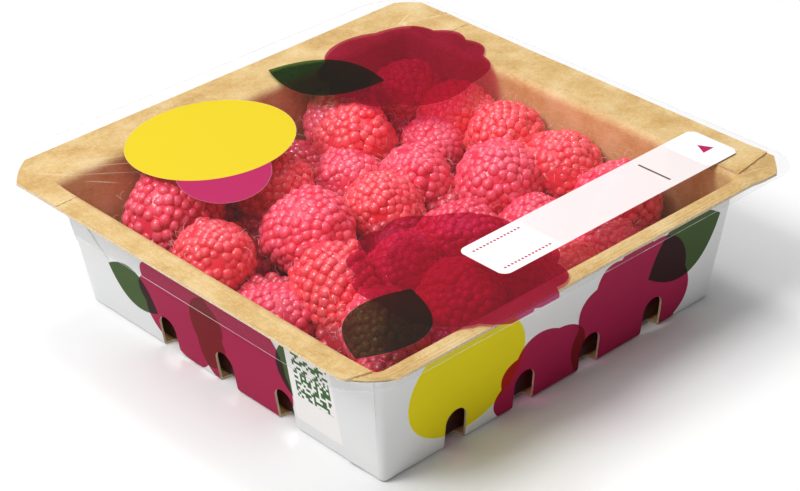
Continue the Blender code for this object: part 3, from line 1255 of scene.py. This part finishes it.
    def _standing(self, lean: float) -> bpy.types.NodeSocket:
        """A rotation that stands a shape's +Z on the berry, spun and leant at random."""
        tree = self.tree
        stood = add_node(tree, "FunctionNodeAlignRotationToVector", {"Vector": self.normal}, axis="Z")
        tilt = self.do.joined(self._random(-lean, lean, 11), self._random(-lean, lean, 12),
                              self._random(0.0, 2 * pi, 13))
        own = add_node(tree, "FunctionNodeEulerToRotation", {0: tilt})
        both = add_node(tree, "FunctionNodeRotateRotation", {"Rotation": out(stood), "Rotate By": out(own)},
                        rotation_space="LOCAL")
        return out(both)

    def _end(self, geometry, material: bpy.types.Material) -> bpy.types.NodeTree:
        """End the tree in real geometry with its finish on."""
        real = add_node(self.tree, "GeometryNodeRealizeInstances", {"Geometry": geometry})
        kept = add_node(self.tree, "GeometryNodeSetPosition",
                        {"Geometry": out(real), "Position": self._inside()})
        dressed = add_node(self.tree, "GeometryNodeSetMaterial",
                           {"Geometry": out(kept), "Material": material})
        add_node(self.tree, "NodeGroupOutput", {0: out(dressed)})
        return self.tree

    def _inside(self) -> bpy.types.NodeSocket:
        """Each point's place, pressed flat where it would pass the walls, the base or the film."""
        do, given = self.do, self.given.outputs
        x, y, z = do.split(out(add_node(self.tree, "GeometryNodeInputPosition")))
        z = do.math("MINIMUM", do.math("MAXIMUM", z, given["Floor"]), given["Ceiling"])
        half = do.math("MULTIPLY_ADD", z, given["Lean"], given["Wall"])
        less = do.math("MULTIPLY", half, -1.0)
        return do.joined(do.math("MINIMUM", do.math("MAXIMUM", x, less), half),
                         do.math("MINIMUM", do.math("MAXIMUM", y, less), half), z)

    def drupelets(self, material: bpy.types.Material) -> bpy.types.NodeTree:
        """Finish the tree with a drupelet on each point and a core in each berry.

        Args:
            material: The berries' finish.

        Returns:
            The tree.
        """
        tree, do = self.tree, self.do
        bead = add_node(tree, "GeometryNodeMeshUVSphere", {"Segments": 8, "Rings": 6, "Radius": 1.0})
        _, _, rise = do.split(out(add_node(tree, "GeometryNodeInputPosition")))
        # Each drupelet's rise, which places the bloom and its painted sheen on the tops
        marked = add_node(tree, "GeometryNodeStoreNamedAttribute",
                          {"Geometry": out(bead), "Name": "dome", "Value": do.ramp(rise, -0.2, 1.0)},
                          data_type="FLOAT", domain="POINT")
        toned = add_node(tree, "GeometryNodeStoreNamedAttribute",
                         {"Geometry": self.points, "Name": "tone", "Value": self._random(0.0, 1.0, 21)},
                         data_type="FLOAT", domain="POINT")
        plump = do.math("MULTIPLY", self.given.outputs["Size"], self._random(0.86, 1.14, 22))
        scale = do.joined(plump, do.math("MULTIPLY", plump, self._random(0.92, 1.05, 23)),
                          do.math("MULTIPLY", plump, self._random(0.62, 0.82, 24)))
        beads = add_node(tree, "GeometryNodeInstanceOnPoints",
                         {"Points": out(toned), "Instance": out(marked), "Rotation": self._standing(0.12),
                          "Scale": scale})
        core = add_node(tree, "GeometryNodeMeshUVSphere", {"Segments": 16, "Rings": 10, "Radius": 0.5})
        turn = out(add_node(tree, "FunctionNodeEulerToRotation", {0: self._read("turn", "FLOAT_VECTOR")}))
        cores = add_node(tree, "GeometryNodeInstanceOnPoints",
                         {"Points": self.given.outputs["Geometry"], "Instance": out(core), "Rotation": turn,
                          "Scale": do.scaled(self._read("size", "FLOAT_VECTOR"), 0.945)})
        joined = add_node(tree, "GeometryNodeJoinGeometry")
        for part in (beads, cores):
            tree.links.new(out(part), joined.inputs[0])
        return self._end(out(joined), material)

    def hairs(self, material: bpy.types.Material, length: float) -> bpy.types.NodeTree:
        """Finish the tree with a fine curved hair on some points.

        Args:
            material: The hairs' finish.
            length: The longest hair, in metres.

        Returns:
            The tree.
        """
        tree, do = self.tree, self.do
        root = self.given.outputs["Size"]
        arc = add_node(tree, "GeometryNodeCurveQuadraticBezier",
                       {"Resolution": 4, "Start": (0.0, 0.0, 0.0),
                        "Middle": (0.0, 0.25 * length, 0.55 * length),
                        "End": (0.0, 0.9 * length, 0.5 * length)})
        along = out(add_node(tree, "GeometryNodeSplineParameter"), "Factor")
        thin = add_node(tree, "GeometryNodeSetCurveRadius",
                        {"Curve": out(arc), "Radius": do.ramp(along, 0.0, 1.0, 1.0, 0.35)})
        profile = add_node(tree, "GeometryNodeCurvePrimitiveCircle", {"Resolution": 3, "Radius": 0.05 * MM})
        hair = add_node(tree, "GeometryNodeCurveToMesh",
                        {"Curve": out(thin), "Profile Curve": out(profile), "Fill Caps": True})
        lifted = add_node(tree, "GeometryNodeSetPosition",
                          {"Geometry": self.points, "Offset": do.scaled(self.normal, root)})
        size = self._random(0.45, 1.0, 31)
        hairs = add_node(tree, "GeometryNodeInstanceOnPoints",
                         {"Points": out(lifted), "Instance": out(hair), "Rotation": self._standing(0.6),
                          "Scale": do.joined(size, size, size),
                          "Selection": do.math("LESS_THAN", self._random(0.0, 1.0, 32), 0.3)})
        return self._end(out(hairs), material)


@dataclass
class BerryHeap:
    """The raspberries: the berries on top, the ones under them, their hairs and a core painted dark as shade.
    """

    top: tuple[Berry, ...]
    skins: dict[Ripeness, BerrySkin]
    under_skin: BerrySkin
    hair: BerryHair
    # The core's dark colour is painted shade
    core: PaintedShadeCore
    drupelets: int = 205
    drupelet: float = 1.62 * MM
    under_drupelets: int = 96
    under_drupelet: float = 1.9 * MM
    unevenness: float = 0.3
    plumpness: float = 1.04
    hair_length: float = 2.8 * MM
    under_spacing: float = 20.4 * MM
    under_height: float = 12.2 * MM
    floor: float = 0.75 * MM
    wall: float = 53.25 * MM
    lean: float = 4.4 / 33.4
    seed: int = 7

    def __post_init__(self) -> None:
        """Take the height under the film from the frame."""
        self.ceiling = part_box("film_lid")[0].z

    def point_cloud(self, name: str, berries: Sequence[Berry], seed: int) -> bpy.types.Object:
        """A mesh with one point for each berry, and the values that the tree reads.

        Args:
            name: The object's name.
            berries: The berries.
            seed: Sets the berries apart from another batch.

        Returns:
            The object.
        """
        mesh = bpy.data.meshes.new(name)
        mesh.from_pydata([(b.x * MM, b.y * MM, b.z * MM) for b in berries], [], [])
        for value, kind in (("size", "FLOAT_VECTOR"), ("turn", "FLOAT_VECTOR"), ("salt", "FLOAT")):
            mesh.attributes.new(value, kind, "POINT")
        for i, berry in enumerate(berries):
            squash = 1 + 0.05 * sin(2.3 * i + seed)
            size = Vector((berry.width * squash, berry.width / squash, berry.length)) * self.plumpness * MM
            mesh.attributes["size"].data[i].vector = size
            mesh.attributes["turn"].data[i].vector = berry.turn
            mesh.attributes["salt"].data[i].value = (1.618 * i + 0.37 * seed) % 6.28
        return link_mesh(name, mesh)

    def grow(self, name: str, berries: Sequence[Berry], tree: bpy.types.NodeTree, count: int, size: float,
             seed: int) -> bpy.types.Object:
        """Run a geometry tree on berries and keep the result as a plain mesh.

        Args:
            name: The piece's name.
            berries: The berries.
            tree: The geometry tree.
            count: Points for each berry.
            size: A drupelet's radius.
            seed: The tree's seed.

        Returns:
            The piece.
        """
        cloud = self.point_cloud(f"{name}_points", berries, seed)
        cover = cloud.modifiers.new("cover", "NODES")
        cover.node_group = tree
        values = {"Count": count, "Size": size, "Unevenness": self.unevenness, "Seed": seed,
                  "Wall": self.wall, "Lean": self.lean, "Floor": self.floor, "Ceiling": self.ceiling}
        for item in tree.interface.items_tree:
            if item.item_type == "SOCKET" and item.in_out == "INPUT" and item.name in values:
                cover[item.identifier] = values[item.name]
        piece = plain_copy(cloud, name)
        for attribute in ("facing", "size", "turn", "salt"):
            if attribute in piece.data.attributes:
                piece.data.attributes.remove(piece.data.attributes[attribute])
        return piece

    def under(self) -> list[Berry]:
        """The berries under the top ones, in staggered rows."""
        berries = []
        half = 41.5
        spacing = self.under_spacing / MM
        rows = 5
        for row in range(rows):
            y = -half + 2 * half * row / (rows - 1)
            columns = 5 if row % 2 == 0 else 4
            for column in range(columns):
                x = (column - (columns - 1) / 2) * spacing
                k = row * 7 + column
                berries.append(Berry(x + 1.5 * sin(5.1 * k), y + 1.2 * sin(3.7 * k), self.under_height / MM,
                                     yaw=(137 * k) % 360, lean=18 * sin(2.2 * k), length=20.5, width=19.4))
        return berries

    def build_core(self) -> None:
        """A low mass under the berries, so that no light shows through the heap; its dark colour is painted
        shade.
        """
        builder = bmesh.new()
        bounds = Bounds.square(51.5 * MM)
        rows = [Ring(bounds, 6 * MM, self.floor + 0.5 * MM).points(12, 5),
                Ring(bounds, 6 * MM, 8 * MM).points(12, 5),
                Ring(bounds.grown(-6 * MM), 6 * MM, 11 * MM).points(12, 5)]
        made = loft(builder, rows)
        close_inward(builder, made[-1], Vector((0, 0, 12 * MM)), 8)
        close_inward(builder, made[0], Vector((0, 0, self.floor + 0.5 * MM)), 2)
        for vert in builder.verts:
            if vert.co.z > 5 * MM:
                vert.co.z += drift(vert.co, 9 * MM, 2 * MM, 1.3)
        core = link_mesh("heap_core", mesh_from(builder, "heap_core"))
        core.data.materials.append(self.core.make())
        core.data.shade_smooth()
        place_piece(core, "raspberries")

    def build(self) -> None:
        """Build every piece of the heap."""
        self.build_core()
        for number, (look, skin) in enumerate(self.skins.items()):
            berries = [berry for berry in self.top if berry.look is look]
            tree = BerryTree(f"{look.value}_drupelets").drupelets(skin.make())
            piece = self.grow(f"raspberries_{look.value}", berries, tree, self.drupelets, self.drupelet,
                              self.seed + number)
            self.finish(piece, "raspberry")
        tree = BerryTree("under_drupelets").drupelets(self.under_skin.make())
        piece = self.grow("raspberries_under", self.under(), tree, self.under_drupelets, self.under_drupelet,
                          self.seed + 20)
        self.finish(piece, "raspberry")
        tree = BerryTree("hairs").hairs(self.hair.make(), self.hair_length)
        piece = self.grow("raspberry_hairs", self.top, tree, self.drupelets, self.drupelet, self.seed + 30)
        self.finish(piece, "raspberry")

    @staticmethod
    def finish(piece: bpy.types.Object, slot: str) -> None:
        """Smooth a piece and make it part of the punnet."""
        piece.data.shade_smooth()
        place_piece(piece)


# --- The film ----------------------------------------------------------------------------------


@dataclass
class FilmLid:
    """The printed film, sealed flat over the rim and left to stand a little past it."""

    print_finish: PrintedFilm
    clear_finish: ClearFilm
    edge_finish: ClearFilm
    corner: float = 15.0 * MM
    thickness: float = 0.13 * MM
    lift: float = 0.12 * MM
    side_steps: int = 34
    corner_steps: int = 10
    rings_inward: int = 34
    corner_droop: float = 0.6 * MM
    other_droop: float = 0.35  # share of it at the corners where the rim reaches further out
    droop_start: float = 94 * MM
    droop_reach: float = 9 * MM
    corner_sizes: tuple[float, float, float, float] = (0.55, 1, 1, 1)

    def droop(self, flat: Vector) -> float:
        """How far the film hangs down where a corner stands free past the rim.

        Args:
            flat: The point, seen from above.

        Returns:
            The drop in metres, 0 away from the corners.
        """
        past = min(abs(flat.x), abs(flat.y)) + 0.5 * max(abs(flat.x), abs(flat.y)) - self.droop_start
        share = min(max(past / self.droop_reach, 0), 1)
        most = self.corner_droop if flat.x > 0 > flat.y else self.other_droop * self.corner_droop
        return most * share * share

    def build(self) -> None:
        """Build and dress the film."""
        bounds = Bounds.of_node("film_lid")
        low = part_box("film_lid")[0].z + self.lift
        middle = Vector(((bounds.min_x + bounds.max_x) / 2, (bounds.min_y + bounds.max_y) / 2, 0))
        outline = Ring(bounds, self.corner, 0.0, sizes=self.corner_sizes).points(self.side_steps,
                                                                                 self.corner_steps)
        builder = bmesh.new()
        rows = loft(builder, [[p + Vector((0, 0, z)) for p in outline] for z in (low, low + self.thickness)])
        close_inward(builder, rows[1], middle + Vector((0, 0, low + self.thickness)), self.rings_inward)
        close_inward(builder, rows[0], middle + Vector((0, 0, low)), self.rings_inward)
        for vert in builder.verts:
            flat = Vector((vert.co.x, vert.co.y, 0))
            vert.co.z += drift(flat, 38 * MM, 0.10 * MM, 2.9) + drift(flat, 12 * MM, 0.02 * MM, 5.3)
            vert.co.z -= self.droop(flat)
        film = link_mesh("film_sheet", mesh_from(builder, "film_sheet"))
        for finish in (self.print_finish, self.clear_finish, self.edge_finish):
            film.data.materials.append(finish.make())
        for face in film.data.polygons:
            face.material_index = 0 if face.normal.z > 0.5 else 1 if face.normal.z < -0.5 else 2
        film.data.shade_smooth()
        film.data.set_sharp_from_angle(angle=radians(40))
        place_piece(film, "film_lid")


# --- The studio --------------------------------------------------------------------------------


@dataclass(frozen=True)
class Camera:
    """A long lens, looking down at the front corner."""

    azimuth: float = -41.25
    elevation: float = 31.22
    roll: float = -2.35
    distance: float = 564.0 * MM
    target: tuple[float, float, float] = (-6.4 * MM, -8.5 * MM, 21.6 * MM)
    lens: float = 105.9

    def build(self) -> None:
        """Place the camera and make it the scene's."""
        a, e, r = radians(self.azimuth), radians(self.elevation), radians(self.roll)
        back = Vector((sin(a) * cos(e), -cos(a) * cos(e), sin(e)))
        right = Vector((cos(a), sin(a), 0))
        up = back.cross(right)
        turned_right = right * cos(r) + up * sin(r)
        turned_up = up * cos(r) - right * sin(r)
        data = bpy.data.cameras.new("camera")
        data.lens = self.lens
        data.clip_start = 0.01
        camera = bpy.data.objects.new("camera", data)
        basis = Matrix((turned_right, turned_up, back)).transposed().to_4x4()
        camera.matrix_world = Matrix.Translation(Vector(self.target) + back * self.distance) @ basis
        bpy.context.scene.collection.objects.link(camera)
        bpy.context.scene.camera = camera


@dataclass(frozen=True)
class SoftLight:
    """A square area light aimed at the punnet."""

    name: str
    azimuth: float
    elevation: float
    distance: float
    size: float
    watts: float

    def build(self) -> None:
        """Place the light."""
        a, e = radians(self.azimuth), radians(self.elevation)
        way = Vector((sin(a) * cos(e), -cos(a) * cos(e), sin(e)))
        data = bpy.data.lights.new(self.name, "AREA")
        data.size = self.size
        data.energy = self.watts
        light = bpy.data.objects.new(self.name, data)
        light.location = way * self.distance
        light.rotation_euler = way.to_track_quat("Z", "Y").to_euler()
        bpy.context.scene.collection.objects.link(light)


@dataclass(frozen=True)
class Studio:
    """A pale floor, an even white room and soft lights from the left and above."""

    camera: Camera
    lights: tuple[SoftLight, ...]
    floor: StudioFloor
    room: float = 0.19
    floor_half: float = 3.0

    def build(self) -> None:
        """Build the studio."""
        builder = bmesh.new()
        bmesh.ops.create_grid(builder, x_segments=1, y_segments=1, size=self.floor_half)
        floor = link_mesh("floor", mesh_from(builder, "floor"))
        if floor.data.polygons[0].normal.z < 0:
            floor.data.flip_normals()
        floor.data.materials.append(self.floor.make())
        world = bpy.data.worlds.new("room")
        world.use_nodes = True
        background = world.node_tree.nodes["Background"]
        background.inputs["Color"].default_value = linear("#FFFFFF")
        background.inputs["Strength"].default_value = self.room
        bpy.context.scene.world = world
        bpy.context.scene.view_settings.view_transform = "Standard"
        for light in self.lights:
            light.build()
        self.camera.build()


# --- This punnet -------------------------------------------------------------------------------

BRIGHT, ROSE, DEEP = Ripeness.BRIGHT, Ripeness.ROSE, Ripeness.DEEP

TOP_BERRIES = (
    Berry(-35, 43, 21, 200, 20, 26, 24, ROSE), Berry(-12, 47, 16, 240, 20, 20, 19, DEEP),
    Berry(6, 47, 14, 240, 20, 20, 19, DEEP), Berry(24, 47, 22, 220, 30, 21, 19.6, ROSE),
    Berry(45, 45, 22, 220, 30, 21, 20, DEEP), Berry(-10, 34, 20, 215, 20, 22, 20, BRIGHT),
    Berry(19, 36, 22, 250, 60, 22, 21, BRIGHT), Berry(46, 27, 23.5, 200, 10, 21, 18, BRIGHT),
    Berry(-24, 27, 11, 200, 0, 20, 18, DEEP), Berry(10, 29, 17, 230, 30, 20, 19, ROSE),
    Berry(34, 23, 20, 225, 60, 17, 17, ROSE), Berry(-42, 18, 21, 240, 30, 21, 20, BRIGHT),
    Berry(-19, 10, 22.5, 250, 10, 23, 21.5, ROSE), Berry(4, 9, 20, 225, 20, 21, 19, BRIGHT),
    Berry(19, 13, 20, 240, 30, 21, 19, ROSE), Berry(46, 9, 22.5, 200, 30, 21, 20, BRIGHT),
    Berry(-43, -5, 15, 290, 20, 21, 19, DEEP), Berry(-30, -12, 21, 250, -20, 26, 20, BRIGHT),
    Berry(-12, -17, 19, 240, 20, 21, 20, DEEP), Berry(6, -17, 20, 240, 20, 22, 21, DEEP),
    Berry(30, -5, 22.5, 225, 30, 23, 21, ROSE), Berry(46, -11, 22, 220, 20, 21, 20, BRIGHT),
    Berry(25, -23, 17, 240, 20, 20, 19, DEEP), Berry(46, -31, 21, 240, 20, 22, 20, ROSE),
    Berry(-33, -33, 20, 240, 20, 21, 20, ROSE), Berry(-13, -37, 21, 240, 20, 21, 20, BRIGHT),
    Berry(5, -42, 19, 240, 20, 20, 19, ROSE), Berry(18, -43, 15, 220, 20, 20, 19, BRIGHT),
    Berry(31, -42, 16, 240, 20, 20, 19, DEEP), Berry(-44, -45, 12, 240, 20, 20, 19, BRIGHT),
)

# The third colour of each skin is its bloom, partly painted sheen on the drupelets' tops
SKINS = {
    BRIGHT: BerrySkin("bright_berry_skin", "#FF2444", "#FF545C", "#FFB4C0", 0.4),
    ROSE: BerrySkin("rose_berry_skin", "#FA2850", "#FF5878", "#FFB4C4", 0.45),
    DEEP: BerrySkin("deep_berry_skin", "#E01A44", "#FF4068", "#FF9CB4", 0.4),
}
UNDER_SKIN = BerrySkin("under_berry_skin", "#B01430", "#DA2844", "#E890A4", 0.35)

LOBED, LEAF, PANEL = FieldShape.LOBED, FieldShape.LEAF, FieldShape.PANEL

FILM_CREASES = tuple(
    PrintedField(LEAF, CREASE_WHITE, (x, y), (length, width), turn, depth=0.6)
    for x, y, length, width, turn in (
        (-48, 52, 8.0, 0.22, -40), (-45, 55, 9.0, 0.25, -36), (-43, 58, 7.0, 0.2, -31),
        (-51, 49, 5.0, 0.3, -52),
        (-57, 61, 6.5, 0.35, 128), (60, 62, 5.6, 0.3, 24), (66.5, 57.5, 9.0, 0.3, -22),
        (59, 60, 1.4, 0.9, 45),
        (62, -60, 5.0, 0.25, -18),
    )
)

FILM_PRINT = (
    PrintedField(PANEL, CLEAR_WINDOW, (0, 0), (58.6, 58.6), depth=3),
    *FILM_CREASES,
    PrintedField(LOBED, RASPBERRY_INK, (41.7, 41.8), (23.8, 22.6), 20, 9, 0.08, 0.4),
    PrintedField(LOBED, RASPBERRY_INK, (-18.2, -40.9), (23.8, 26.6), 0, 10, 0.08, 1.1),
    PrintedField(LEAF, LEAF_INK, (23.8, 52.4), (15.8, 10.2), -57, depth=-0.12),
    PrintedField(LEAF, LEAF_INK, (-44.9, -46.0), (14.9, 9.7), 24, depth=-0.1),
    PrintedField(LOBED, MAGENTA_INK, (-26.8, 32.2), (16, 11.8), 55, 6, 0.0, 0.0),
    PrintedField(LOBED, YELLOW_INK, (-19, 47), (22.2, 19.8), -4, 2, 0.0, 0.0),
    PrintedField(PANEL, WHITE_INK, (-1, -43.3), (12, 7.8), depth=2.4),
    PrintedField(PANEL, VEIL_INK, (36.0, -43.3), (30, 7.8), depth=0.2),
    PrintedField(PANEL, WHITE_INK, (61.5, -43.3), (5.5, 7.8), depth=2.4),
    PrintedField(FieldShape.DOTS, MAGENTA_INK, (-3.2, -38.4), (7.6, 0.35), depth=1.1),
    PrintedField(FieldShape.DOTS, MAGENTA_INK, (-3.2, -48.6), (7.6, 0.35), depth=1.1),
    PrintedField(PANEL, RULE_INK, (45.0, -43.3), (0.3, 5.2), depth=0.1),
    PrintedField(FieldShape.ARROW, MAGENTA_INK, (62.2, -43.6), (1.9, 1.9), 90),
)

Y_WALL_PRINT = (
    PrintedField(LOBED, BOARD_YELLOW_INK, (-30, 18.2), (18, 15.2), 0, 2, 0.0, 0.0),
    PrintedField(LOBED, BOARD_RASPBERRY_INK, (-5, 4), (15.5, 15.5), 0, 8, 0.1, 0.3),
    PrintedField(LOBED, BOARD_RASPBERRY_INK, (24.5, 10), (20.5, 20.5), 0, 9, 0.09, 1.0),
    PrintedField(LEAF, BOARD_LEAF_INK, (41.0, 21.4), (12.8, 9.6), 20, depth=0.0),
)
X_WALL_PRINT = (
    PrintedField(LEAF, BOARD_LEAF_INK, (-33.4, 13.3), (9.6, 6.0), -22, depth=0.1),
    PrintedField(LOBED, BOARD_RASPBERRY_INK, (-14, 15), (16.2, 15), 0, 9, 0.08, 0.6),
    PrintedField(LOBED, BOARD_RASPBERRY_INK, (7.6, 13), (18.6, 17), 0, 8, 0.09, 1.4),
    PrintedField(LEAF, BOARD_LEAF_INK, (27, 18), (9, 5.4), 92, depth=0.0),
    PrintedField(PANEL, WHITE_INK, (33.6, 15), (7.8, 10.8), depth=0.6),
)


def main() -> None:
    """Build the punnet and its studio, in order."""
    logging.basicConfig(level=logging.INFO, format="%(name)s: %(message)s")
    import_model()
    nodes = FieldNodes()
    Tray(
        KraftBoard(),
        PrintedBoard(nodes, Y_WALL_PRINT, X_WALL_PRINT, wall_inner=53.0 * MM,
                     code_panel=(27.9, 11.9, 40.2, 24.9)),
        BoardEdge(),
    ).build()
    BerryHeap(TOP_BERRIES, SKINS, UNDER_SKIN, BerryHair(), PaintedShadeCore()).build()
    FilmLid(
        PrintedFilm(nodes, FILM_PRINT),
        ClearFilm("clear_film", "#FFFFFF", 0.004),
        ClearFilm("film_edge", "#FFFFFF", 0.6),
    ).build()
    Studio(
        Camera(),
        (
            SoftLight("key", -105, 56, 1.1, 0.42, 7.6),
            SoftLight("top", 170, 80, 1.2, 1.4, 7.0),
            SoftLight("rim", 150, 56, 1.1, 0.25, 3.2),
        ),
        StudioFloor(),
    ).build()


if __name__ == "__main__":
    main()
